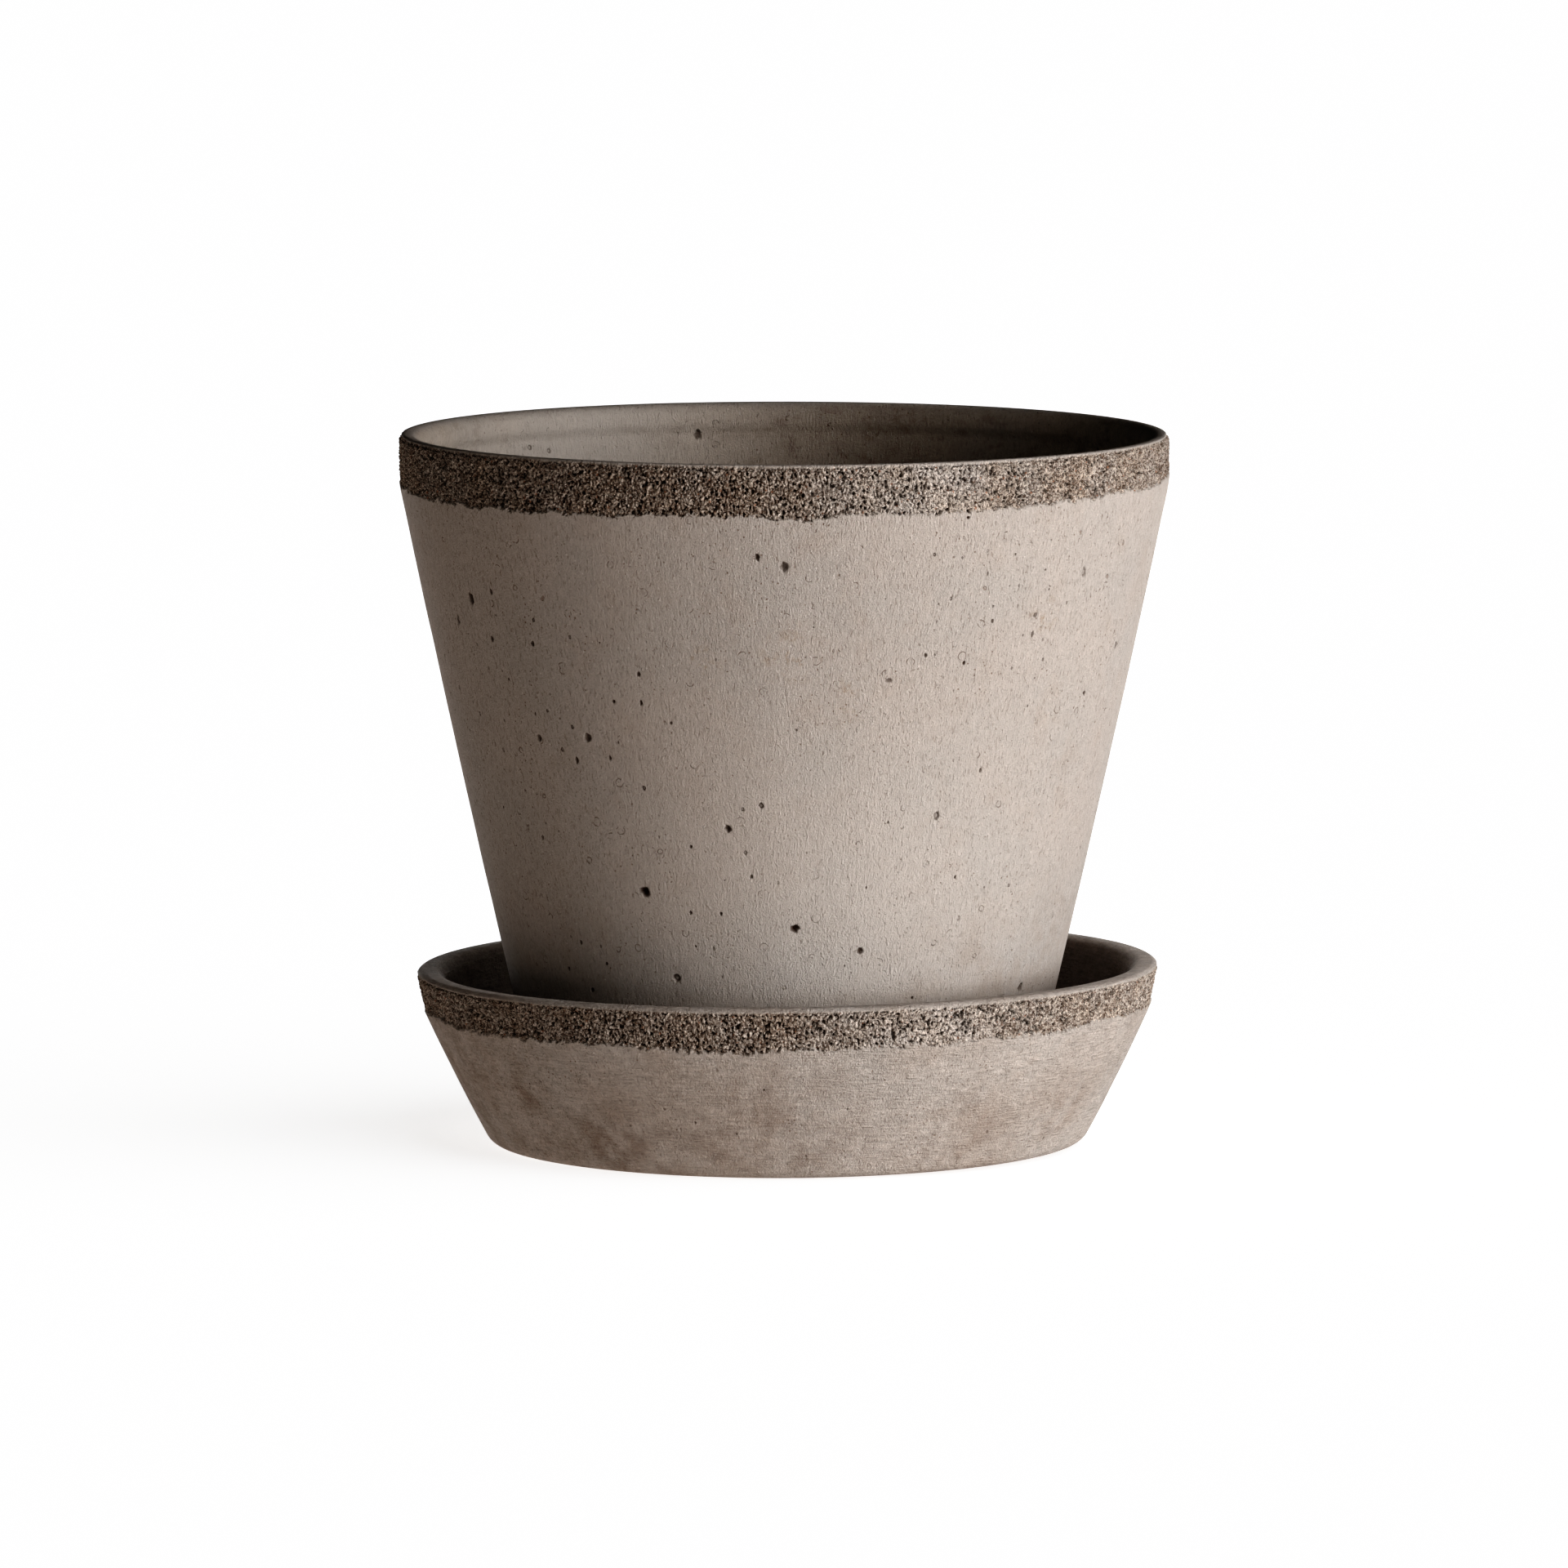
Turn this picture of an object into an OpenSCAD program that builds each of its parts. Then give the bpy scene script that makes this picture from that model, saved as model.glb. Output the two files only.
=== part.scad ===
// Terracotta plant pot standing loose in its own saucer, in millimetres.
// The origin is the centre of the saucer's underside, with +Z up.
// Both pieces are solids of revolution about Z.

/* [Pot outside] */
// Diameter at the widest part of the rim band
pot_d = 210; // [180:1:240]
// Height of the pot alone, from its foot to the top of its rim
pot_h = 187; // [160:1:215]
// Diameter of the wall at the foot, before its edge is rounded
foot_d = 132; // [120:1:150]
// How far the flaring wall bows out from a straight cone
wall_bow = 0.6; // [0:0.1:2]
// Distance of the widest part below the top of the rim
band_crest_drop = 7.8; // [5:0.1:12]
// Radius of the curve that turns the flaring wall upright at the rim band
band_curve_r = 42; // [25:1:80]
// Rounding of the rim's outer edge
lip_out_r = 2; // [0.5:0.1:2.3]
// Rounding of the foot's edge
foot_edge_r = 2.5; // [1:0.1:4]

/* [Pot inside] */
// Thickness of the rim, level across its top
rim_t = 6.4; // [6.1:0.1:9]
// Rounding of the rim's inner edge
lip_in_r = 4; // [1:0.1:4.3]
// Thickness of the flaring wall, measured level
wall_t = 5.8; // [4.5:0.1:8]
// Depth of the upright collar inside the rim
collar_h = 5.2; // [4.4:0.1:10]
// Height over which the collar eases back into the wall
collar_ease_h = 3.6; // [2:0.1:6]
// Thickness of the pot's floor
floor_t = 7; // [5:0.1:10]
// Hollow rounding between the pot's floor and its wall
floor_round_r = 9; // [4:0.5:16]
// Diameter of the drainage hole
drain_d = 20; // [12:0.5:30]
// Diameter of the shallow recess inside the foot ring
foot_recess_d = 106; // [60:1:110]
// Depth of that recess
foot_recess_h = 1.5; // [0.5:0.1:3]

/* [Saucer] */
// Height of the saucer
saucer_h = 48.5; // [44:0.5:56]
// Diameter just below the saucer's rim
saucer_d = 202.5; // [194:0.5:214]
// Height of the steep band round the saucer's rim
saucer_band_h = 11; // [7:0.5:14]
// Lean of the band from upright, in degrees
saucer_band_lean = 12.4; // [6:0.1:18]
// Lean of the wall just below the band, in degrees
saucer_top_lean = 23.1; // [20:0.1:26]
// Lean of the wall at the bottom, in degrees
saucer_low_lean = 28.8; // [27:0.1:32]
// Rounding of the saucer's bottom edge
saucer_edge_r = 4.6; // [2:0.1:7]
// Thickness of the saucer's rim, measured level
saucer_wall_t = 7.6; // [7.2:0.1:10]
// Rounding of the rim's outer edge
saucer_lip_out_r = 2; // [0.5:0.1:3.7]
// Rounding of the rim's inner edge
saucer_lip_in_r = 3.8; // [1:0.1:4.3]
// Thickness of the saucer's floor
saucer_floor_t = 7; // [5:0.1:9]
// Hollow rounding between the saucer's floor and its wall
saucer_round_r = 12; // [6:0.5:16]

/* [Hidden] */
$fn = 180;

// Overlap of a cut past the face that it leaves through
cut_over = 1;
// Segments in a curved stretch of wall, in a small rounding and in a soft one
wall_steps = 12;
lip_steps = 6;
round_steps = 8;

pot_clay = [0.70, 0.65, 0.60];
saucer_clay = [0.69, 0.63, 0.58];

// Points on an arc about [r, z], from angle a0 to a1, with angle 0 outwards and 90 up
function arc(r, z, radius, a0, a1, steps) =
    [for (i = [0:steps]) let (a = a0 + (a1 - a0) * i / steps)
        [r + radius * cos(a), z + radius * sin(a)]];

// --- Pot: heights are above its foot ---

pot_r = pot_d / 2;
foot_r = foot_d / 2;
crest_z = pot_h - band_crest_drop;

// The wall's lean where it meets the band is found from a straight wall, less its bow
straight_lean = atan((pot_r - foot_r) / crest_z);
top_lean = atan(tan(straight_lean) - 4 * wall_bow / crest_z);
bend_z = crest_z - band_curve_r * sin(top_lean);
bend_r = pot_r - band_curve_r * (1 - cos(top_lean));

// Outer radius of the flaring wall at height z, which also runs on above the bend
function wall_r(z) = let (u = z / bend_z)
    z < bend_z
        ? foot_r + (bend_r - foot_r) * u + 4 * wall_bow * u * (1 - u)
        : bend_r + (z - bend_z) * tan(top_lean);

low_lean = atan((bend_r - foot_r + 4 * wall_bow) / bend_z);
foot_edge_z = foot_edge_r * (1 - sin(low_lean));
foot_edge_c = wall_r(foot_edge_z) - foot_edge_r * cos(low_lean);

rim_in_r = pot_r - rim_t;
collar_z = pot_h - collar_h;
ease_z = collar_z - collar_ease_h;
ease_r = wall_r(ease_z) - wall_t;

hollow_z = floor_t + floor_round_r * (1 - sin(low_lean));
hollow_c = wall_r(hollow_z) - wall_t - floor_round_r * cos(low_lean);

pot_outside = concat(
    [[0, 0]],
    arc(foot_edge_c, foot_edge_r, foot_edge_r, -90, -low_lean, lip_steps),
    [for (i = [1:wall_steps - 1]) let (z = foot_edge_z + (bend_z - foot_edge_z) * i / wall_steps)
        [wall_r(z), z]],
    arc(pot_r - band_curve_r, crest_z, band_curve_r, -top_lean, 0, round_steps),
    arc(pot_r - lip_out_r, pot_h - lip_out_r, lip_out_r, 0, 90, lip_steps)
);

pot_inside = concat(
    arc(rim_in_r + lip_in_r, pot_h - lip_in_r, lip_in_r, 90, 180, lip_steps),
    [for (i = [0:round_steps]) let (u = i / round_steps)
        [rim_in_r + (ease_r - rim_in_r) * (1 - cos(180 * u)) / 2, collar_z - collar_ease_h * u]],
    [for (i = [1:wall_steps - 1]) let (z = ease_z + (hollow_z - ease_z) * i / wall_steps)
        [wall_r(z) - wall_t, z]],
    arc(hollow_c, floor_t + floor_round_r, floor_round_r, -low_lean, -90, round_steps),
    [[0, floor_t]]
);

module pot() {
    color(pot_clay)
    translate([0, 0, saucer_floor_t])
    difference() {
        rotate_extrude() polygon(concat(pot_outside, pot_inside));
        translate([0, 0, -cut_over])
            cylinder(h = floor_t + 2 * cut_over, d = drain_d);
        translate([0, 0, -cut_over])
            cylinder(h = foot_recess_h + cut_over, d = foot_recess_d);
    }
}

// --- Saucer: heights are above its underside ---

band_z = saucer_h - saucer_band_h;
band_top_z = saucer_h - saucer_lip_out_r;
band_top_r = saucer_d / 2;
band_r = band_top_r - (band_top_z - band_z) * tan(saucer_band_lean);

// The wall is one long arc, whose lean eases from the bottom edge to the band
edge_z = saucer_edge_r * (1 - sin(saucer_low_lean));
wall_curve_r = (band_z - edge_z) / (sin(saucer_low_lean) - sin(saucer_top_lean));
curve_c_r = band_r - wall_curve_r * cos(saucer_top_lean);
curve_c_z = band_z + wall_curve_r * sin(saucer_top_lean);
edge_c = curve_c_r + (wall_curve_r - saucer_edge_r) * cos(saucer_low_lean);

// Outer radius of the saucer at height z
function saucer_r(z) =
    z < band_z
        ? curve_c_r + sqrt(pow(wall_curve_r, 2) - pow(curve_c_z - z, 2))
        : band_r + (z - band_z) * tan(saucer_band_lean);

in_lip_z = saucer_h - saucer_lip_in_r;
in_lip_r = saucer_r(in_lip_z) - saucer_wall_t;

dish_z = saucer_floor_t + saucer_round_r * (1 - sin(saucer_low_lean));
dish_c = saucer_r(dish_z) - saucer_wall_t - saucer_round_r * cos(saucer_low_lean);

saucer_outline = concat(
    [[0, 0]],
    arc(edge_c, saucer_edge_r, saucer_edge_r, -90, -saucer_low_lean, lip_steps),
    [for (i = [1:wall_steps]) let (z = edge_z + (band_z - edge_z) * i / wall_steps)
        [saucer_r(z), z]],
    arc(band_top_r - saucer_lip_out_r, band_top_z, saucer_lip_out_r, 0, 90, lip_steps),
    arc(in_lip_r + saucer_lip_in_r, in_lip_z, saucer_lip_in_r, 90, 180, lip_steps),
    [for (i = [0:wall_steps - 1]) let (z = band_z + (dish_z - band_z) * i / wall_steps)
        [saucer_r(z) - saucer_wall_t, z]],
    arc(dish_c, saucer_floor_t + saucer_round_r, saucer_round_r, -saucer_low_lean, -90, round_steps),
    [[0, saucer_floor_t]]
);

module saucer() {
    color(saucer_clay)
    rotate_extrude() polygon(saucer_outline);
}

saucer();
pot();
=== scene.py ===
import math

import bpy
import numpy as np
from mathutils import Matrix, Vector


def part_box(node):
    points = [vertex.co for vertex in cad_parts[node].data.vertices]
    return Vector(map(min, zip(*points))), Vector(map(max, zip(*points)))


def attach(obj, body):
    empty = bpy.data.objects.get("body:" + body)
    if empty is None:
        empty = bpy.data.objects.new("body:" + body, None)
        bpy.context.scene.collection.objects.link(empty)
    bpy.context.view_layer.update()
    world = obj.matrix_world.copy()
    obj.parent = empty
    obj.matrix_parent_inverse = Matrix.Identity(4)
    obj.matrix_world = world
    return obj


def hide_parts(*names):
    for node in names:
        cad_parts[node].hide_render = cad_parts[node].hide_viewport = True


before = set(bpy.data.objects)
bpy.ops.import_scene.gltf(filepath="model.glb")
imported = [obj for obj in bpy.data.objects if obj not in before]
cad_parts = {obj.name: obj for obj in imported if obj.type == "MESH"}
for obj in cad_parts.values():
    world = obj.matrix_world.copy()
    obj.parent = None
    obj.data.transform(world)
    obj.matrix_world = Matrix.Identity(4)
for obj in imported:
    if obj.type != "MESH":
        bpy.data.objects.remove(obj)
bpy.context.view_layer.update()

MM = 0.001

# The CAD boxes that both pieces are built to
_, saucer_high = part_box("saucer")
pot_low, pot_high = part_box("pot")


# ---------------------------------------------------------------- sizes

# Pot: heights are above its foot, which stands on the saucer's floor
POT_FOOT_Z = pot_low.z
POT_R = pot_high.x
POT_H = pot_high.z - pot_low.z
FOOT_R = 66.0 * MM
WALL_BOW = 0.6 * MM
CREST_DROP = 7.8 * MM
BAND_CURVE_R = 42.0 * MM
LIP_OUT_R = 2.0 * MM
FOOT_EDGE_R = 2.5 * MM
RIM_T = 6.4 * MM
LIP_IN_R = 4.0 * MM
WALL_T = 5.8 * MM
COLLAR_H = 5.2 * MM
COLLAR_EASE_H = 3.6 * MM
FLOOR_T = 7.0 * MM
FLOOR_ROUND_R = 9.0 * MM
DRAIN_R = 10.0 * MM
DRAIN_EDGE_R = 0.8 * MM
FOOT_RECESS_R = 53.0 * MM
FOOT_RECESS_H = 1.5 * MM

# Saucer: heights are above its underside
SAUCER_R = saucer_high.x
SAUCER_H = saucer_high.z
SAUCER_BAND_H = 11.0 * MM
SAUCER_BAND_LEAN = math.radians(12.4)
SAUCER_TOP_LEAN = math.radians(23.1)
SAUCER_LOW_LEAN = math.radians(28.8)
SAUCER_EDGE_R = 4.6 * MM
SAUCER_WALL_T = 7.6 * MM
SAUCER_LIP_OUT_R = 2.0 * MM
SAUCER_LIP_IN_R = 3.8 * MM
SAUCER_FLOOR_T = pot_low.z
SAUCER_ROUND_R = 12.0 * MM

# The saucer is a little out of true: its rim is higher on +X, by this slope, and its base warps up there
SAUCER_RIM_TILT = 0.012
SAUCER_BASE_WARP = 0.009
# It also stands a little off the pot's axis, towards +X
SAUCER_SHIFT = 0.9 * MM

# The scraped band of the pot ends this far below its rim, deepest at one bearing
POT_BAND_TOP = 0.35 * MM
POT_BAND_DROP = 12.5 * MM
POT_BAND_SWING = 1.6 * MM
POT_BAND_DEEPEST = math.radians(-42)
# The saucer's scraped band, likewise
SAUCER_BAND_TOP = 1.0 * MM
SAUCER_BAND_DROP = 10.8 * MM
SAUCER_BAND_SWING = 0.6 * MM
SAUCER_BAND_DEEPEST = math.radians(-20)
# The finest rows of the saucer's outline start this far below its rim
SAUCER_BAND_REACH = 13.5 * MM

# Points round a full turn, on each kind of surface
ROUND_BAND = 4096
ROUND_EDGE = 2048
ROUND_WALL = 1024
ROUND_INSIDE = 512
ROUND_FLOOR = 256


# ---------------------------------------------------------------- outlines

def arc(centre_r, centre_z, radius, start, end, pitch):
    """Points on an arc in the r-z plane, with angle 0 outwards and a quarter turn up."""
    steps = max(3, int(round(abs(end - start) * radius / pitch)))
    angle = np.linspace(start, end, steps + 1)
    return np.stack([centre_r + radius * np.cos(angle), centre_z + radius * np.sin(angle)], 1)


def line(start, end, pitch):
    """Points on a straight stretch."""
    length = math.dist(start, end)
    share = np.linspace(0, 1, max(2, int(round(length / pitch)) + 1))[:, None]
    return np.array(start) * (1 - share) + np.array(end) * share


def climb(radius_at, start_z, end_z, pitch):
    """Points on a wall whose radius is a function of height."""
    z = np.linspace(start_z, end_z, max(2, int(round(abs(end_z - start_z) / pitch)) + 1))
    return np.stack([np.array([radius_at(h) for h in z]), z], 1)


CREST_Z = POT_H - CREST_DROP
STRAIGHT_LEAN = math.atan((POT_R - FOOT_R) / CREST_Z)
TOP_LEAN = math.atan(math.tan(STRAIGHT_LEAN) - 4 * WALL_BOW / CREST_Z)
BEND_Z = CREST_Z - BAND_CURVE_R * math.sin(TOP_LEAN)
BEND_R = POT_R - BAND_CURVE_R * (1 - math.cos(TOP_LEAN))
LOW_LEAN = math.atan((BEND_R - FOOT_R + 4 * WALL_BOW) / BEND_Z)


def pot_wall_r(z):
    """Outer radius of the pot's flaring wall, which also runs on above its bend."""
    if z > BEND_Z:
        return BEND_R + (z - BEND_Z) * math.tan(TOP_LEAN)
    u = z / BEND_Z
    return FOOT_R + (BEND_R - FOOT_R) * u + 4 * WALL_BOW * u * (1 - u)


BAND_Z = SAUCER_H - SAUCER_BAND_H
BAND_TOP_Z = SAUCER_H - SAUCER_LIP_OUT_R
BAND_R = SAUCER_R - (BAND_TOP_Z - BAND_Z) * math.tan(SAUCER_BAND_LEAN)
EDGE_Z = SAUCER_EDGE_R * (1 - math.sin(SAUCER_LOW_LEAN))
CURVE_R = (BAND_Z - EDGE_Z) / (math.sin(SAUCER_LOW_LEAN) - math.sin(SAUCER_TOP_LEAN))
CURVE_CENTRE_R = BAND_R - CURVE_R * math.cos(SAUCER_TOP_LEAN)
CURVE_CENTRE_Z = BAND_Z + CURVE_R * math.sin(SAUCER_TOP_LEAN)


def saucer_wall_r(z):
    """Outer radius of the saucer: one long arc, then the straight band."""
    if z > BAND_Z:
        return BAND_R + (z - BAND_Z) * math.tan(SAUCER_BAND_LEAN)
    return CURVE_CENTRE_R + math.sqrt(CURVE_R ** 2 - (CURVE_CENTRE_Z - z) ** 2)


def collar_ease(start_r, start_z, end_r, end_z):
    """Points on the soft step where the pot's upright collar eases into its wall."""
    share = np.linspace(0, 1, 8)
    ease = (1 - np.cos(np.pi * share)) / 2
    return np.stack([start_r + (end_r - start_r) * ease, start_z + (end_z - start_z) * share], 1)


# Each stretch of an outline is its points, its points round the turn, and the UV area it goes in

def pot_outline():
    """The pot's closed outline, from the foot up the outside, down the inside and out of the drain."""
    up, right = math.pi / 2, 0.0
    edge_z = FOOT_EDGE_R * (1 - math.sin(LOW_LEAN))
    edge_c = pot_wall_r(edge_z) - FOOT_EDGE_R * math.cos(LOW_LEAN)
    rim_in = POT_R - RIM_T
    ease_z = POT_H - COLLAR_H - COLLAR_EASE_H
    ease_r = pot_wall_r(ease_z) - WALL_T
    hollow_z = FLOOR_T + FLOOR_ROUND_R * (1 - math.sin(LOW_LEAN))
    hollow_c = pot_wall_r(hollow_z) - WALL_T - FLOOR_ROUND_R * math.cos(LOW_LEAN)
    inside = lambda z: pot_wall_r(z) - WALL_T
    drain_low = FOOT_RECESS_H + DRAIN_EDGE_R
    drain_high = FLOOR_T - DRAIN_EDGE_R
    return [
        (line((FOOT_RECESS_R, 0), (edge_c, 0), 2 * MM), ROUND_INSIDE, "under"),
        (arc(edge_c, FOOT_EDGE_R, FOOT_EDGE_R, -up, -LOW_LEAN, 0.5 * MM), ROUND_WALL, "wall"),
        (climb(pot_wall_r, edge_z, BEND_Z - 2 * MM, 1.3 * MM), ROUND_WALL, "wall"),
        (climb(pot_wall_r, BEND_Z - 2 * MM, BEND_Z, 0.5 * MM), ROUND_EDGE, "rim"),
        (arc(POT_R - BAND_CURVE_R, CREST_Z, BAND_CURVE_R, -TOP_LEAN, right, 0.2 * MM), ROUND_BAND, "rim"),
        (line((POT_R, CREST_Z), (POT_R, POT_H - LIP_OUT_R), 0.2 * MM), ROUND_BAND, "rim"),
        (arc(POT_R - LIP_OUT_R, POT_H - LIP_OUT_R, LIP_OUT_R, right, up, 0.2 * MM), ROUND_BAND, "rim"),
        (line((POT_R - LIP_OUT_R, POT_H), (rim_in + LIP_IN_R, POT_H), 0.4 * MM), ROUND_EDGE, "rim"),
        (arc(rim_in + LIP_IN_R, POT_H - LIP_IN_R, LIP_IN_R, up, 2 * up, 0.4 * MM), ROUND_WALL, "rim"),
        (line((rim_in, POT_H - LIP_IN_R), (rim_in, POT_H - COLLAR_H), 0.8 * MM), ROUND_WALL, "inside"),
        (collar_ease(rim_in, POT_H - COLLAR_H, ease_r, ease_z), ROUND_WALL, "inside"),
        (climb(inside, ease_z, POT_H - 40 * MM, 1.3 * MM), ROUND_WALL, "inside"),
        (climb(inside, POT_H - 40 * MM, hollow_z, 2.6 * MM), ROUND_INSIDE, "inside"),
        (arc(hollow_c, FLOOR_T + FLOOR_ROUND_R, FLOOR_ROUND_R, -LOW_LEAN, -up, 1.5 * MM),
         ROUND_INSIDE, "floor"),
        (line((hollow_c, FLOOR_T), (DRAIN_R + DRAIN_EDGE_R, FLOOR_T), 3 * MM), ROUND_FLOOR, "floor"),
        (arc(DRAIN_R + DRAIN_EDGE_R, drain_high, DRAIN_EDGE_R, up, 2 * up, 0.3 * MM), ROUND_FLOOR, "floor"),
        (line((DRAIN_R, drain_high), (DRAIN_R, drain_low), 1 * MM), ROUND_FLOOR, "floor"),
        (arc(DRAIN_R + DRAIN_EDGE_R, drain_low, DRAIN_EDGE_R, -2 * up, -up, 0.3 * MM), ROUND_FLOOR, "under"),
        (line((DRAIN_R + DRAIN_EDGE_R, FOOT_RECESS_H), (FOOT_RECESS_R, FOOT_RECESS_H), 3 * MM),
         ROUND_FLOOR, "under"),
        (line((FOOT_RECESS_R, FOOT_RECESS_H), (FOOT_RECESS_R, 0), 0.7 * MM), ROUND_INSIDE, "under"),
    ]


def saucer_outline():
    """The saucer's outline, from the middle of its underside to the middle of its floor."""
    up, right = math.pi / 2, 0.0
    edge_c = CURVE_CENTRE_R + (CURVE_R - SAUCER_EDGE_R) * math.cos(SAUCER_LOW_LEAN)
    in_lip_z = SAUCER_H - SAUCER_LIP_IN_R
    in_lip_r = saucer_wall_r(in_lip_z) - SAUCER_WALL_T
    dish_z = SAUCER_FLOOR_T + SAUCER_ROUND_R * (1 - math.sin(SAUCER_LOW_LEAN))
    dish_c = saucer_wall_r(dish_z) - SAUCER_WALL_T - SAUCER_ROUND_R * math.cos(SAUCER_LOW_LEAN)
    inside = lambda z: saucer_wall_r(z) - SAUCER_WALL_T
    band_start = SAUCER_H - SAUCER_BAND_REACH
    return [
        (line((0, 0), (edge_c * 0.5, 0), 4 * MM), ROUND_FLOOR, "under"),
        (line((edge_c * 0.5, 0), (edge_c, 0), 3 * MM), ROUND_INSIDE, "under"),
        (arc(edge_c, SAUCER_EDGE_R, SAUCER_EDGE_R, -up, -SAUCER_LOW_LEAN, 0.7 * MM), ROUND_WALL, "wall"),
        (climb(saucer_wall_r, EDGE_Z, band_start - 3 * MM, 1.2 * MM), ROUND_WALL, "wall"),
        (climb(saucer_wall_r, band_start - 3 * MM, band_start, 0.8 * MM), ROUND_EDGE, "rim"),
        (climb(saucer_wall_r, band_start, BAND_TOP_Z, 0.2 * MM), ROUND_BAND, "rim"),
        (arc(SAUCER_R - SAUCER_LIP_OUT_R, BAND_TOP_Z, SAUCER_LIP_OUT_R, right, up, 0.2 * MM),
         ROUND_BAND, "rim"),
        (line((SAUCER_R - SAUCER_LIP_OUT_R, SAUCER_H), (in_lip_r + SAUCER_LIP_IN_R, SAUCER_H), 0.4 * MM),
         ROUND_EDGE, "rim"),
        (arc(in_lip_r + SAUCER_LIP_IN_R, in_lip_z, SAUCER_LIP_IN_R, up, 2 * up, 0.5 * MM),
         ROUND_WALL, "rim"),
        (climb(inside, BAND_Z, dish_z, 1.5 * MM), ROUND_WALL, "inside"),
        (arc(dish_c, SAUCER_FLOOR_T + SAUCER_ROUND_R, SAUCER_ROUND_R, -SAUCER_LOW_LEAN, -up, 1.5 * MM),
         ROUND_INSIDE, "floor"),
        (line((dish_c, SAUCER_FLOOR_T), (dish_c * 0.5, SAUCER_FLOOR_T), 3 * MM), ROUND_INSIDE, "floor"),
        (line((dish_c * 0.5, SAUCER_FLOOR_T), (0, SAUCER_FLOOR_T), 4 * MM), ROUND_FLOOR, "floor"),
    ]


# ---------------------------------------------------------------- noise

def grid_place(turn, along, cells_round, pitch):
    """Where points lie on a grid that goes round the turn, counted in its cells."""
    low = along.min() if len(along) else 0.0
    return (turn % 1) * cells_round, (along - low) / pitch


def smooth_noise(seed, turn, along, cells_round, pitch):
    """Smooth noise from -1 to 1 that closes on itself round the turn."""
    rng = np.random.default_rng(seed)
    u, v = grid_place(turn, along, cells_round, pitch)
    grid = rng.uniform(-1, 1, (int(v.max(initial=0)) + 3, cells_round))
    column, row = u.astype(int) % cells_round, v.astype(int)
    fu, fv = u - np.floor(u), v - row
    fu, fv = fu * fu * (3 - 2 * fu), fv * fv * (3 - 2 * fv)
    beside = (column + 1) % cells_round
    below = grid[row, column] * (1 - fu) + grid[row, beside] * fu
    above = grid[row + 1, column] * (1 - fu) + grid[row + 1, beside] * fu
    return below * (1 - fv) + above * fv


def grains(seed, turn, along, cells_round, pitch):
    """For each point: how far the nearest grain is, how much further the next, its number and its tilt."""
    rng = np.random.default_rng(seed)
    u, v = grid_place(turn, along, cells_round, pitch)
    v += 1
    rows = int(v.max(initial=0)) + 3
    off_u, off_v, own = rng.random((3, rows, cells_round))
    column, row = np.floor(u).astype(int), np.floor(v).astype(int)
    nearest = np.full(len(u), 9.0)
    second = np.full(len(u), 9.0)
    number = np.zeros(len(u))
    tilt = np.zeros(len(u))
    for du in (-1, 0, 1):
        for dv in (-1, 0, 1):
            c = (column + du) % cells_round
            r = row + dv
            across, up = column + du + off_u[r, c] - u, r + off_v[r, c] - v
            apart = np.hypot(across, up)
            closer = apart < nearest
            way = 40 * own[r, c]
            tilt = np.where(closer, across * np.cos(way) + up * np.sin(way), tilt)
            second = np.where(closer, nearest, np.minimum(second, apart))
            number = np.where(closer, own[r, c], number)
            nearest = np.where(closer, apart, nearest)
    return nearest, second - nearest, number, tilt


def step_between(value, low, high):
    """0 below low, 1 above high, and smooth between."""
    t = np.clip((value - low) / (high - low), 0, 1)
    return t * t * (3 - 2 * t)


EDGE_EASE = 8 * MM


def between(value, low, high):
    """1 well between low and high, easing to 0 inside them."""
    return step_between(value, low, low + EDGE_EASE) * (1 - step_between(value, high - EDGE_EASE, high))


# ---------------------------------------------------------------- turned skins

# Outline points nearer than this are one point
SAME_POINT = 0.01 * MM
# Rings of a pit in the wall: size, share of its depth and tone, which is painted shade. A pit with a grain
# in it has a raised middle
PORE_MOUTH = ((1.5, 0, 0), (1.15, 0.02, 0), (0.94, 0.35, 0.6))
PORE_EMPTY = ((0.7, 0.75, 0.85), (0.36, 1, 1))
PORE_GRAIN = ((0.7, 0.8, 0.9), (0.36, 0.35, 0.35))
GRAIN_CHANCE = 0.35


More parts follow.
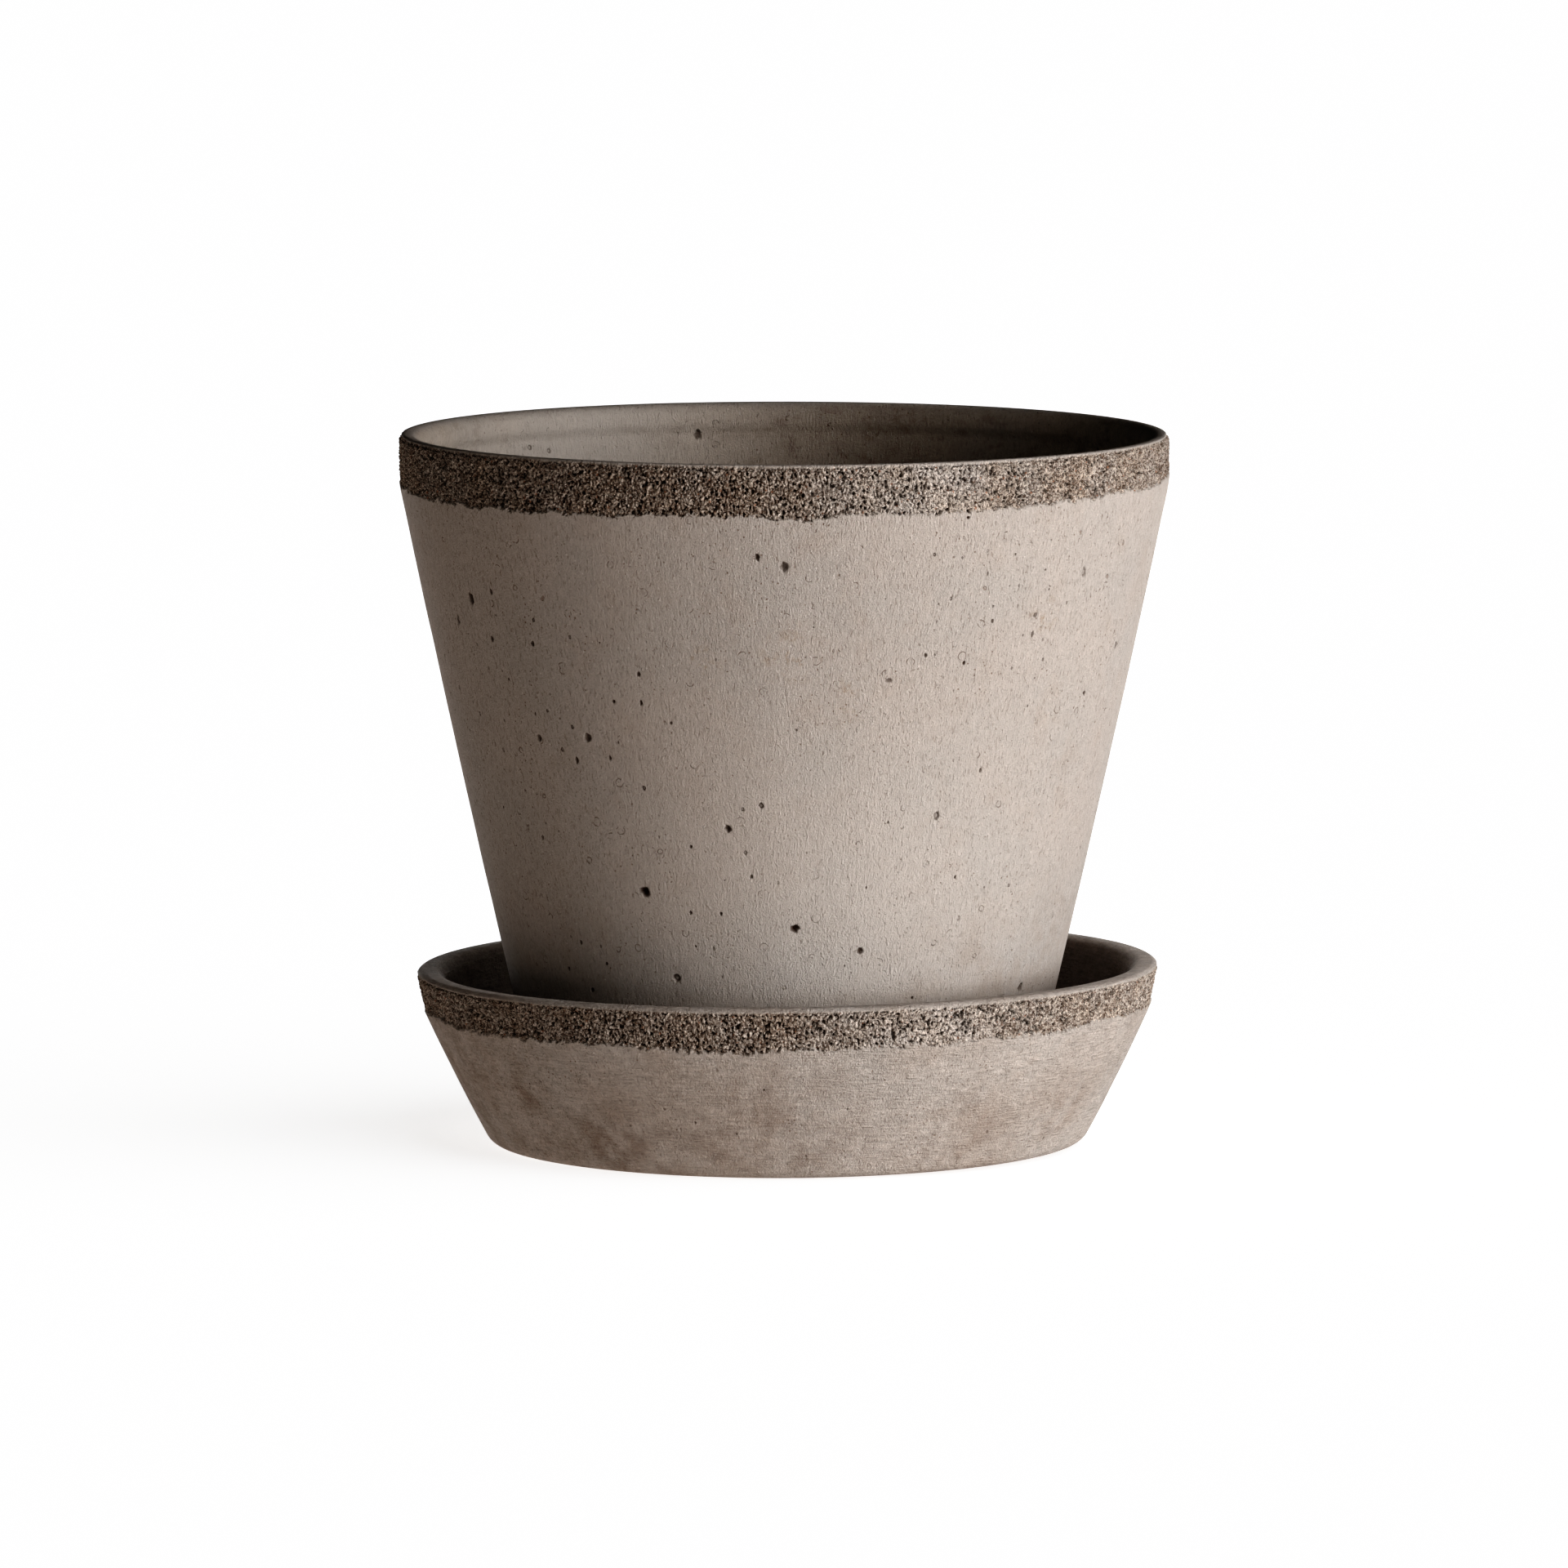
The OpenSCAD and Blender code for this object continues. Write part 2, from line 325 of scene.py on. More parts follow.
class Skin:
    """An outline turned about Z. A vertex is a turn, a distance along it, a sink and a share of painted
    shade for the pits.
    """

    def __init__(self, stretches, closed):
        self.closed = closed
        path = self.read_rows(stretches)
        ahead = np.roll(path, -1, 0) if closed else np.vstack([path[1:], path[-1:]])
        behind = np.roll(path, 1, 0) if closed else np.vstack([path[:1], path[:-1]])
        tangent = ahead - behind
        tangent /= np.linalg.norm(tangent, axis=1)[:, None]
        self.path = path
        self.normal = np.stack([tangent[:, 1], -tangent[:, 0]], 1)
        self.along_row = np.concatenate([[0], np.cumsum(np.linalg.norm(np.diff(path, axis=0), axis=1))])
        self.length = self.along_row[-1] + (math.dist(path[0], path[-1]) if closed else 0)
        self.first = np.concatenate([[0], np.cumsum(self.round)])
        self.turn = np.concatenate([np.arange(n) / n for n in self.round])
        self.along = np.repeat(self.along_row, self.round)
        self.sink = np.zeros(len(self.turn))
        self.pore = np.zeros(len(self.turn))
        self.extra = []
        self.join_rows()

    def read_rows(self, stretches):
        """The outline's points, with each row's count and area, where stretches share their end points."""
        points, self.round, self.area = [], [], []
        for stretch, count, area in stretches:
            for point in stretch:
                if points and math.dist(points[-1], point) < SAME_POINT:
                    self.round[-1] = max(self.round[-1], count) if area == self.area[-1] else count
                    self.area[-1] = area
                    continue
                points.append(tuple(point))
                self.round.append(count)
                self.area.append(area)
        if self.closed and math.dist(points[0], points[-1]) < SAME_POINT:
            points.pop()
            self.round.pop()
            self.area.pop()
        if not self.closed:
            self.round[0] = self.round[-1] = 1
        return np.array(points)

    def join_rows(self):
        """Quads between rows of the same count, and triangles between rows of different counts."""
        rows = len(self.round)
        self.quad_first = np.full(rows, -1)
        quads, tris, quad_total = [], [], 0
        for i in range(rows if self.closed else rows - 1):
            j = (i + 1) % rows
            a, b, n, m = self.first[i], self.first[j], self.round[i], self.round[j]
            if n == m:
                k = np.arange(n)
                nxt = (k + 1) % n
                quads.append(np.stack([a + k, a + nxt, b + nxt, b + k], 1))
                self.quad_first[i] = quad_total
                quad_total += n
            elif n == 1:
                k = np.arange(m)
                tris.append(np.stack([np.full(m, a), b + (k + 1) % m, b + k], 1))
            elif m == 1:
                k = np.arange(n)
                tris.append(np.stack([a + k, a + (k + 1) % n, np.full(n, b)], 1))
            elif m == 2 * n:
                k = np.arange(n)
                nxt, even, odd, far = (k + 1) % n, 2 * k, 2 * k + 1, (2 * k + 2) % m
                tris.append(np.stack([a + k, b + odd, b + even], 1))
                tris.append(np.stack([a + k, a + nxt, b + odd], 1))
                tris.append(np.stack([a + nxt, b + far, b + odd], 1))
            elif n == 2 * m:
                k = np.arange(m)
                nxt, even, odd, far = (k + 1) % m, 2 * k, 2 * k + 1, (2 * k + 2) % n
                tris.append(np.stack([a + even, a + odd, b + k], 1))
                tris.append(np.stack([a + odd, a + far, b + nxt], 1))
                tris.append(np.stack([a + odd, b + nxt, b + k], 1))
            else:
                raise ValueError(f"rows of {n} and {m} points don't join")
        self.quads = np.concatenate(quads)
        self.tris = np.concatenate(tris)
        self.kept = np.ones(len(self.quads), bool)

    def row_near(self, along):
        return int(np.argmin(np.abs(self.along_row - along)))

    def sink_pore(self, turn, along, wide, tall, deep, rng, dark=1.0):
        """Cuts a block of quads out and puts a finer round pit in it, unless it doesn't fit."""
        row = self.row_near(along)
        n = self.round[row]
        radius = self.path[row, 0]
        pitch_round = 2 * math.pi * radius / n
        pitch_up = max(self.along_row[min(row + 1, len(self.round) - 1)] - self.along_row[row], 1e-6)
        half_cols = max(2, math.ceil(0.85 * wide / pitch_round))
        half_rows = max(2, math.ceil(0.85 * tall / pitch_up))
        low, high = row - half_rows, row + half_rows
        if low < 0 or high >= len(self.round) or any(self.round[i] != n for i in range(low, high + 1)):
            return
        column = int(round((turn % 1) * n))
        columns = np.arange(column - half_cols, column + half_cols + 1) % n
        block = np.concatenate([self.quad_first[i] + columns[:-1] for i in range(low, high)])
        if not self.kept[block].all():
            return
        self.kept[block] = False
        bottom = self.first[low] + columns[:-1]
        right = self.first[low:high] + columns[-1]
        top = self.first[high] + columns[:0:-1]
        left = self.first[low + 1:high + 1][::-1] + columns[0]
        loop = np.concatenate([bottom, right, top, left])
        off = (self.turn[loop] - turn + 0.5) % 1 - 0.5
        angle = np.arctan2((self.along[loop] - along) / tall, off * 2 * math.pi * radius / wide)
        waves = sum(rng.uniform(0, 0.10) * np.cos(w * angle + rng.uniform(0, 6.3)) for w in (2, 3, 4, 5))
        floor = PORE_GRAIN if rng.random() < GRAIN_CHANCE else PORE_EMPTY
        outer = loop
        for share, down, tone in PORE_MOUTH + floor:
            reach = share * (1 + waves * (1.6 - share * 0.4)) / 2
            ring_turn = turn + np.cos(angle) * wide * reach / (2 * math.pi * radius)
            ring_along = along + np.sin(angle) * tall * reach
            rough = rng.uniform(0.75, 1.15, len(loop)) if share < 0.9 else 1.0
            inner = self.add(ring_turn, ring_along, down * deep * rough, tone * dark)
            self.extra.append(np.stack([outer, np.roll(outer, -1), np.roll(inner, -1), inner], 1))
            outer = inner
        middle = self.add(np.array([turn]), np.array([along]), down * deep, tone * dark)
        fan = np.stack([outer, np.roll(outer, -1), np.full(len(outer), middle[0])], 1)
        self.tris = np.vstack([self.tris, fan])

    def add(self, turn, along, sink, pore):
        """Adds vertices and returns their numbers."""
        start = len(self.turn)
        self.turn = np.concatenate([self.turn, turn % 1])
        self.along = np.concatenate([self.along, along])
        self.sink = np.concatenate([self.sink, np.broadcast_to(sink, len(turn))])
        self.pore = np.concatenate([self.pore, np.full(len(turn), float(pore))])
        return np.arange(start, start + len(turn))

    def outline_at(self, along, values):
        """An outline's values at distances along it, closed where the outline is."""
        at, known = self.along_row, values
        if self.closed:
            at = np.append(at, self.length)
            known = np.append(values, values[0])
        return np.interp(along, at, known)

    def points(self, depth):
        """The vertices in space, sunk inwards by depth and by their own sink."""
        r = self.outline_at(self.along, self.path[:, 0])
        z = self.outline_at(self.along, self.path[:, 1])
        nr = self.outline_at(self.along, self.normal[:, 0])
        nz = self.outline_at(self.along, self.normal[:, 1])
        down = depth + self.sink
        r, z = r - nr * down, z - nz * down
        bearing = self.turn * 2 * math.pi
        return np.stack([r * np.sin(bearing), -r * np.cos(bearing), z], 1)

    def height(self):
        return self.outline_at(self.along, self.path[:, 1])


# Where each kind of surface lies in the UV square: lowest v, highest v and strips round the turn
UV_STRIPS = {"rim": (0.0, 0.32, 4), "wall": (0.32, 0.72, 2), "inside": (0.72, 0.84, 1)}
# The middle and half width of the two round areas
UV_DISCS = {"floor": (0.08, 0.92, 0.075), "under": (0.25, 0.92, 0.075)}
# The strips start here, so that none ends in front
UV_START = 0.28
UV_GAP = 0.004


def face_uvs(skin, faces):
    """UV of each corner of each face."""
    turn = skin.turn[faces]
    turn = np.where((turn.max(1) - turn.min(1) > 0.5)[:, None] & (turn < 0.5), turn + 1, turn)
    along = skin.along[faces]
    if skin.closed:
        wraps = (along.max(1) - along.min(1) > skin.length / 2)[:, None]
        along = np.where(wraps & (along < skin.length / 2), along + skin.length, along)
    row_area = np.array(skin.area)
    starts = skin.along_row
    row = np.clip(np.searchsorted(starts, along.min(1) + 1e-9) - 1, 0, len(starts) - 1)
    face_area = row_area[row]
    uv = np.zeros((*faces.shape, 2))
    for name, (low, high, strips) in UV_STRIPS.items():
        mine = face_area == name
        if not mine.any():
            continue
        span = along[mine]
        share = (span - span.min()) / (span.max() - span.min())
        shifted = (turn[mine] + UV_START) * strips
        strip = np.floor(shifted.min(1) + 1e-9)[:, None]
        tall = (high - low) / strips
        uv[mine, :, 0] = UV_GAP + (shifted - strip) * (1 - 2 * UV_GAP)
        uv[mine, :, 1] = low + (strip % strips) * tall + UV_GAP + share * (tall - 2 * UV_GAP)
    for name, (mid_u, mid_v, half) in UV_DISCS.items():
        mine = face_area == name
        if not mine.any():
            continue
        r = skin.outline_at(along[mine] % (skin.length + 1e-12), skin.path[:, 0])
        z = skin.outline_at(along[mine] % (skin.length + 1e-12), skin.path[:, 1])
        reach = r + 0.5 * np.abs(z - z.min())
        bearing = turn[mine] * 2 * math.pi
        uv[mine, :, 0] = mid_u + reach / reach.max() * half * np.sin(bearing)
        uv[mine, :, 1] = mid_v + reach / reach.max() * half * np.cos(bearing)
    return uv


def skin_object(name, skin, points, shares):
    """A mesh object of a skin, with its UVs and the numbers per vertex that its material reads."""
    quads = np.concatenate([skin.quads[skin.kept], *skin.extra])
    tris = skin.tris
    used = np.zeros(len(points), bool)
    used[quads] = True
    used[tris] = True
    renumber = np.cumsum(used) - 1
    corners = np.concatenate([renumber[quads].ravel(), renumber[tris].ravel()])
    sizes = np.concatenate([np.full(len(quads), 4), np.full(len(tris), 3)])
    mesh = bpy.data.meshes.new(name)
    mesh.vertices.add(int(used.sum()))
    mesh.vertices.foreach_set("co", points[used].astype(np.float32).ravel())
    mesh.loops.add(len(corners))
    mesh.loops.foreach_set("vertex_index", corners.astype(np.int32))
    mesh.polygons.add(len(sizes))
    mesh.polygons.foreach_set("loop_start", np.concatenate([[0], np.cumsum(sizes)[:-1]]).astype(np.int32))
    mesh.update(calc_edges=True)
    uv = np.concatenate([face_uvs(skin, quads).reshape(-1, 2), face_uvs(skin, tris).reshape(-1, 2)])
    mesh.uv_layers.new(name="OFBake").data.foreach_set("uv", uv.astype(np.float32).ravel())
    for key, values in {**shares, "pore": skin.pore, "inside": inside_share(skin)}.items():
        layer = mesh.attributes.new(key, "FLOAT", "POINT")
        layer.data.foreach_set("value", values[used].astype(np.float32))
    mesh.shade_smooth()
    piece = bpy.data.objects.new(name, mesh)
    bpy.context.scene.collection.objects.link(piece)
    return piece


# ---------------------------------------------------------------- relief

def torn_band(seed, turn, along, radius, upright, scored):
    """Depth of scraped coarse clay, and its coarse and fine grain numbers. Upright is 1 where its cracks run
    up and 0 where they run round, and scored is the share of cracks in its roughness."""
    around = 2 * math.pi * radius
    cells = lambda width: int(around / (width * MM))
    near, gap, own, tilt = grains(seed, turn, along, cells(0.80), 0.95 * MM)
    _, _, own2, tilt2 = grains(seed + 1, turn, along, cells(2.3), 2.0 * MM)
    _, _, own3, tilt3 = grains(seed + 2, turn, along, cells(0.55), 0.55 * MM)
    patchy = smooth_noise(seed + 3, turn, along, cells(2.6), 2.2 * MM)
    choose = 0.5 + 0.5 * smooth_noise(seed + 6, turn, along, cells(3.5), 3.0 * MM)
    runs_up = step_between(upright - choose, -0.08, 0.08)
    cracks_up = smooth_noise(seed + 4, turn, along, cells(0.7), 1.7 * MM)
    cracks_round = smooth_noise(seed + 5, turn, along, cells(2.0), 0.65 * MM)
    crack_up, crack_round = (1 - step_between(np.abs(way), 0.06, 0.22) for way in (cracks_up, cracks_round))
    crack = (runs_up * crack_up + (1 - runs_up) * crack_round) * step_between(patchy, -0.25, 0.25)
    open_gap = (1 - step_between(gap, 0.03, 0.20)) * step_between(-patchy, -0.5, 0.3)
    crumb = 0.24 * own + 0.50 * tilt + 0.20 * tilt2 + 0.12 * own2 + 0.12 * own3 + 0.30 * tilt3 * near
    crumb += 0.40 * open_gap
    holes = 0.6 * step_between(own, 0.87, 0.9) * (1 - step_between(near, 0.35, 0.6))
    depth = (0.24 + (1 - 0.3 * scored) * crumb + holes + (0.30 + 0.5 * scored) * crack) * MM
    return np.clip(depth, 0, 1.3 * MM), own, own3


def ragged_edge(seed, turn, along, radius):
    """How far the edge of a scraped band wanders, in metres, with a step wherever a grain is in or out."""
    around = 2 * math.pi * radius
    cells = lambda width: int(around / (width * MM))
    wander = 0.7 * smooth_noise(seed, turn, along * 0, cells(26), 1)
    wander += 0.9 * np.abs(smooth_noise(seed + 1, turn, along, cells(8), 30 * MM)) - 0.3
    coarse = grains(seed + 2, turn, along, cells(2.2), 1.8 * MM)[2]
    small = grains(seed + 3, turn, along, cells(0.9), 0.8 * MM)[2]
    wander += 0.9 * (coarse - 0.5) + 0.8 * (small - 0.5)
    return wander * MM


def band_relief(skin, seed, top_z, top, drop, swing, deepest, radius, upright, scored):
    """Depth of every vertex of a piece with a scraped band, and its shares of band, of painted shade in its
    deepest hollows, and of grain.
    """
    height = skin.height()
    outside = skin.outline_at(skin.along, skin.normal[:, 0]) > 0.05
    near = outside & (height > top_z - drop - swing - 3 * MM)
    turn, along = skin.turn[near], skin.along[near]
    below = top_z - height[near]
    edge = ragged_edge(seed + 10, turn, along, radius)
    low_edge = drop + swing * np.cos(turn * 2 * math.pi - deepest) + edge
    share = 1 - step_between(below - low_edge, -0.1 * MM, 0.1 * MM)
    upper = top + 0.12 * edge
    share *= step_between(below - upper, -0.1 * MM, 0.1 * MM)
    torn, own, own3 = torn_band(seed, turn, along, radius, upright(turn), scored(turn))
    depth, band, cavity, grain = (np.zeros(len(skin.turn)) for _ in range(4))
    depth[near] = share * (torn + 0.12 * MM)
    band[near] = share
    # Painted shade: a share that darkens the colour where the torn relief is deepest
    cavity[near] = share * step_between(torn, 0.62 * MM, 1.0 * MM)
    grain[near] = 0.5 * own + 0.5 * own3
    return depth, {"band": band, "cavity": cavity, "grain": grain}


def inside_share(skin):
    """1 on the surfaces that face the axis, and 0 on those that face away or straight up."""
    return step_between(-skin.outline_at(skin.along, skin.normal[:, 0]), 0.3, 0.8)


def handmade(seed, skin, amount):
    """A slight unevenness of a wall, in metres."""
    wide = smooth_noise(seed, skin.turn, skin.along, 14, 45 * MM)
    small = smooth_noise(seed + 1, skin.turn, skin.along, 60, 12 * MM)
    return amount * (0.35 * wide + 0.15 * small)


# ---------------------------------------------------------------- pot

def turn_of(degrees):
    """A bearing in degrees from the front, to the right positive, as a share of a turn."""
    return (degrees / 360) % 1


def along_of(skin, height, outside=True):
    """Distance along the outline of the outer, or inner, wall at a height."""
    side = skin.normal[:, 0] > 0.3 if outside else skin.normal[:, 0] < -0.3
    rows = np.flatnonzero(side)
    return float(skin.along_row[rows[np.argmin(np.abs(skin.path[rows, 1] - height))]])


# The largest pores of the pot's front: bearing in degrees, height above the foot, width and height in mm
POT_PORES = [
    (-58, 146, 2.0, 3.4), (-64, 140, 1.8, 2.8), (-52, 149, 1.0, 1.8), (-43, 143, 1.0, 1.2),
    (-54, 136, 1.3, 1.7), (-44, 136, 1.3, 1.5), (-36, 139, 0.9, 1.2), (-16, 166, 1.0, 1.3),
    (-12, 166, 1.4, 1.9), (-4, 162, 1.4, 2.0),
    (0, 160, 2.2, 2.8), (16, 166, 0.9, 1.1), (23, 162, 0.9, 1.0), (28, 172, 0.9, 0.9),
    (53, 154, 1.8, 2.6), (69, 132, 1.6, 1.8), (67, 136, 1.2, 1.3), (43, 144, 1.3, 1.4),
    (43, 139, 1.0, 1.9), (17, 128, 2.2, 1.2), (23, 135, 1.1, 1.1), (30, 132, 0.9, 1.3),
    (60, 120, 1.5, 1.2), (-24, 130, 1.2, 1.4), (-29, 122, 0.9, 1.1), (-24, 122, 0.9, 1.5),
    (-43, 118, 0.9, 1.0), (-46, 110, 1.7, 1.9), (-35, 112, 2.4, 2.2), (-38, 114, 1.1, 1.1),
    (-41, 108, 1.0, 1.1), (-38, 105, 1.1, 2.0), (-31, 106, 0.9, 1.4), (-19, 116, 0.9, 0.9),
    (-25, 99, 1.1, 1.3), (-4, 94, 1.4, 1.6), (-10, 88, 1.9, 2.0), (-27, 70, 2.8, 2.7),
    (-7, 82, 1.0, 1.3), (-17, 83, 0.9, 1.0), (-6, 75, 1.0, 1.2), (-12, 65, 0.9, 1.1),
    (-18, 64, 0.9, 1.2), (-22, 46, 2.1, 2.1), (-44, 54, 1.0, 1.3), (-49, 46, 1.0, 1.2),
    (-38, 49, 0.9, 1.0), (-43, 41, 1.3, 1.2), (2, 61, 2.5, 2.2), (15, 54, 1.6, 2.1),
    (28, 90, 1.7, 2.1), (36, 102, 0.9, 1.3), (58, 40, 2.2, 2.4), (-70, 120, 0.9, 1.4),
    (-75, 128, 0.9, 1.2),
]
# Pores inside the collar: bearing, drop below the rim in mm and size in mm
COLLAR_PORES = [(-135, 10, 1.5), (-139, 11, 1.4), (-166, 9, 2.2), (165, 9, 0.9), (120, 9, 0.8)]
# Small pores at random, half of the pot's in clusters
POT_SMALL_PORES = 360
POT_CLUSTERS = 16
SAUCER_SMALL_PORES = 90


def pot_pores(skin):
    """The front's largest pores where they are, and many smaller ones in loose clusters all round."""
    rng = np.random.default_rng(41)
    for bearing, height, wide, tall in POT_PORES:
        deep = 0.5 * min(wide, tall) * MM
        dark = rng.uniform(0.55, 1.0)
        skin.sink_pore(turn_of(bearing), along_of(skin, height * MM), wide * MM, tall * MM, deep, rng, dark)
    low, high = along_of(skin, 6 * MM), along_of(skin, 168 * MM)
    clusters = [(rng.random(), rng.uniform(low, high)) for _ in range(POT_CLUSTERS)]
    for i in range(POT_SMALL_PORES):
        turn, along = rng.random(), rng.uniform(low, high)
        if i % 2:
            centre = clusters[i % len(clusters)]
            turn = centre[0] + rng.normal(0, 0.022)
            along = centre[1] + rng.normal(0, 12 * MM)
        behind = 0.25 < turn % 1 < 0.75
        wide = rng.uniform(0.4, 0.75) * MM * (1 + (2.2 if behind else 0.5) * rng.random() ** 8)
        if low < along < high:
            tall = wide * rng.uniform(0.9, 1.7)
            skin.sink_pore(turn, along, wide, tall, 0.4 * wide, rng, rng.uniform(0.25, 0.9))
    for bearing, drop, size in COLLAR_PORES:
        along = along_of(skin, POT_H - drop * MM, outside=False)
        skin.sink_pore(turn_of(bearing), along, size * MM, size * MM, 0.35 * size * MM, rng, 0.6)


def make_pot():
    """The pot as one closed skin, with its scraped band and its pores."""
    skin = Skin(pot_outline(), closed=True)
    pot_pores(skin)
    more_upright_right = lambda turn: 0.75 + 0.25 * np.cos(turn * 2 * math.pi - math.radians(70))
    depth, shares = band_relief(
        skin, 100, POT_H, POT_BAND_TOP, POT_BAND_DROP, POT_BAND_SWING, POT_BAND_DEEPEST,
        POT_R, more_upright_right, lambda turn: 0.15 + 0.15 * np.cos(turn * 2 * math.pi - math.radians(80)))
    depth += between(skin.height(), 4 * MM, POT_H - 3 * MM) * handmade(150, skin, 0.35 * MM)
    points = skin.points(depth)
    points[:, 2] += POT_FOOT_Z
    return skin_object("pot_body", skin, points, shares)


# ---------------------------------------------------------------- saucer

def saucer_pores(skin):
    """A few small pores round the saucer's wall."""
    rng = np.random.default_rng(57)
    low, high = along_of(skin, 6 * MM), along_of(skin, 34 * MM)
    for _ in range(SAUCER_SMALL_PORES):
        wide = rng.uniform(0.4, 0.8) * MM
        tall = wide * rng.uniform(0.9, 1.5)
        dark = rng.uniform(0.2, 0.7)
        skin.sink_pore(rng.random(), rng.uniform(low, high), wide, tall, 0.4 * wide, rng, dark)


def make_saucer():
    """The saucer as one closed skin, with its scraped band and its pores, and a little out of true."""
    skin = Skin(saucer_outline(), closed=False)
    saucer_pores(skin)
    mixed_way = lambda turn: 0.55 + 0.25 * np.cos(turn * 2 * math.pi - math.radians(60))
    depth, shares = band_relief(
        skin, 200, SAUCER_H, SAUCER_BAND_TOP, SAUCER_BAND_DROP, SAUCER_BAND_SWING, SAUCER_BAND_DEEPEST,
        SAUCER_R, mixed_way, lambda turn: 0.50 + 0.25 * np.cos(turn * 2 * math.pi - math.radians(60)))
    depth += between(skin.height(), 9 * MM, SAUCER_H - 2 * MM) * handmade(250, skin, 0.5 * MM)
    points = skin.points(depth)
    lift = step_between(points[:, 2], 10 * MM, SAUCER_H)
    right = (points[:, 0] + np.hypot(points[:, 0], 20 * MM)) / 2
    points[:, 2] += SAUCER_RIM_TILT * points[:, 0] * lift + SAUCER_BASE_WARP * right * (1 - lift)
    points[:, 0] += SAUCER_SHIFT
    return skin_object("saucer_body", skin, points, shares)


# ---------------------------------------------------------------- material helpers

class Nodes:
    """A material's node tree, with one short method per kind of node."""

    def __init__(self, name):
        self.material = bpy.data.materials.new(name)
        self.material.use_nodes = True
        self.tree = self.material.node_tree
        self.tree.nodes.clear()
        self.shader = self.tree.nodes.new("ShaderNodeBsdfPrincipled")
        self.new("OutputMaterial", {0: self.shader.outputs[0]})
        self.object = self.new("TexCoord", {})["Object"]

    def set(self, socket, value):
        """Links an output to an input, or sets a plain value on it."""
        if isinstance(value, bpy.types.NodeSocket):
            self.tree.links.new(value, socket)
        elif isinstance(value, tuple) and len(socket.default_value) == 4:
            socket.default_value = (*value, 1)
        else:
            socket.default_value = value

    def new(self, kind, inputs, **settings):
        """Makes a node, with its settings and its inputs, and returns its outputs."""
        node = self.tree.nodes.new("ShaderNode" + kind)
        for name, value in settings.items():
            setattr(node, name, value)
        for key, value in inputs.items():
            self.set(node.inputs[key], value)
        return node.outputs

    def stretch(self, scale, offset=(0, 0, 0)):
        """The object's own coordinates, in metres, with each axis scaled."""
        return self.new("Mapping", {"Vector": self.object, "Scale": scale, "Location": offset})[0]

    def noise(self, size, detail=2.0, squash=(1, 1, 1), rough=0.5, offset=(0, 0, 0)):
        """Noise whose features are about size metres across, from 0 to 1."""
        place = self.stretch(squash, offset)
        return self.new("TexNoise", {
            "Vector": place, "Scale": 1 / size, "Detail": detail, "Roughness": rough})["Fac"]

    def cells(self, size, offset=(0, 0, 0)):
        """Distance to the nearest of scattered points, and that point's own number, from 0 to 1."""
        place = self.stretch((1, 1, 1), offset)
        near = self.new("TexVoronoi", {"Vector": place, "Scale": 1 / size})
        return near["Distance"], self.new("SeparateColor", {0: near["Color"]})[0]

    def dots(self, size, edge, chosen, offset=(0, 0, 0)):
        """Scattered round dots, from 0 to 1. Edge is a range of distance, and chosen a range of number."""
        near, number = self.cells(size, offset)
        return self.times(self.ease(near, *edge, 1.0, 0.0), self.ease(number, *chosen))

    def maths(self, operation, a, b=0.0):
        return self.new("Math", {0: a, 1: b}, operation=operation)[0]

    def times(self, a, b):
        return self.maths("MULTIPLY", a, b)

    def plus(self, a, b):
        return self.maths("ADD", a, b)

    def minus(self, a, b):
        return self.maths("SUBTRACT", a, b)

    def total(self, start, *terms):
        """A value plus the sum of (value, amount) pairs."""
        for value, amount in terms:
            start = self.plus(start, self.times(value, amount))
        return start

    def ease(self, value, low, high, to_low=0.0, to_high=1.0):
        """A value mapped smoothly from low to high onto to_low to to_high."""
        inputs = dict(enumerate((value, low, high, to_low, to_high)))
        return self.new("MapRange", inputs, interpolation_type="SMOOTHSTEP")[0]

    def mix(self, share, a, b, blend="MIX"):
        """Two colours mixed."""
        return self.new("Mix", {0: share, 6: a, 7: b}, data_type="RGBA", blend_type=blend)[2]

    def shade(self, colour, *wobbles):
        """A colour made lighter and darker by (noise, amount) pairs, where noise runs from 0 to 1."""
        light = self.total(1.0, *((self.minus(source, 0.5), amount) for source, amount in wobbles))
        return self.new("VectorMath", {0: colour, "Scale": light}, operation="SCALE")[0]

    def ramp(self, value, *stops):
        """A colour ramp with (place, colour) stops."""
        node = self.tree.nodes.new("ShaderNodeValToRGB")
        elements = node.color_ramp.elements
        while len(elements) < len(stops):
            elements.new(0.5)
        for element, (place, colour) in zip(elements, stops):
            element.position = place
            element.color = (*colour, 1)
        self.set(node.inputs[0], value)
        return node.outputs[0]

    def attribute(self, name):
        return self.new("Attribute", {}, attribute_name=name)["Fac"]

    def spot(self, centre, radius):
        """1 at a point of the object, easing to 0 at a radius from it."""
        apart = self.new("VectorMath", {0: self.object, 1: centre}, operation="DISTANCE")["Value"]
        return self.ease(apart, 0.0, radius, 1.0, 0.0)

    def bump(self, height, distance):
        """A surface normal bent by a height, where a height of 1 is a distance in metres."""
        return self.new("Bump", {"Distance": distance, "Height": height})[0]


# The height of the fine relief that the materials add
BUMP_HEIGHT = 0.26 * MM

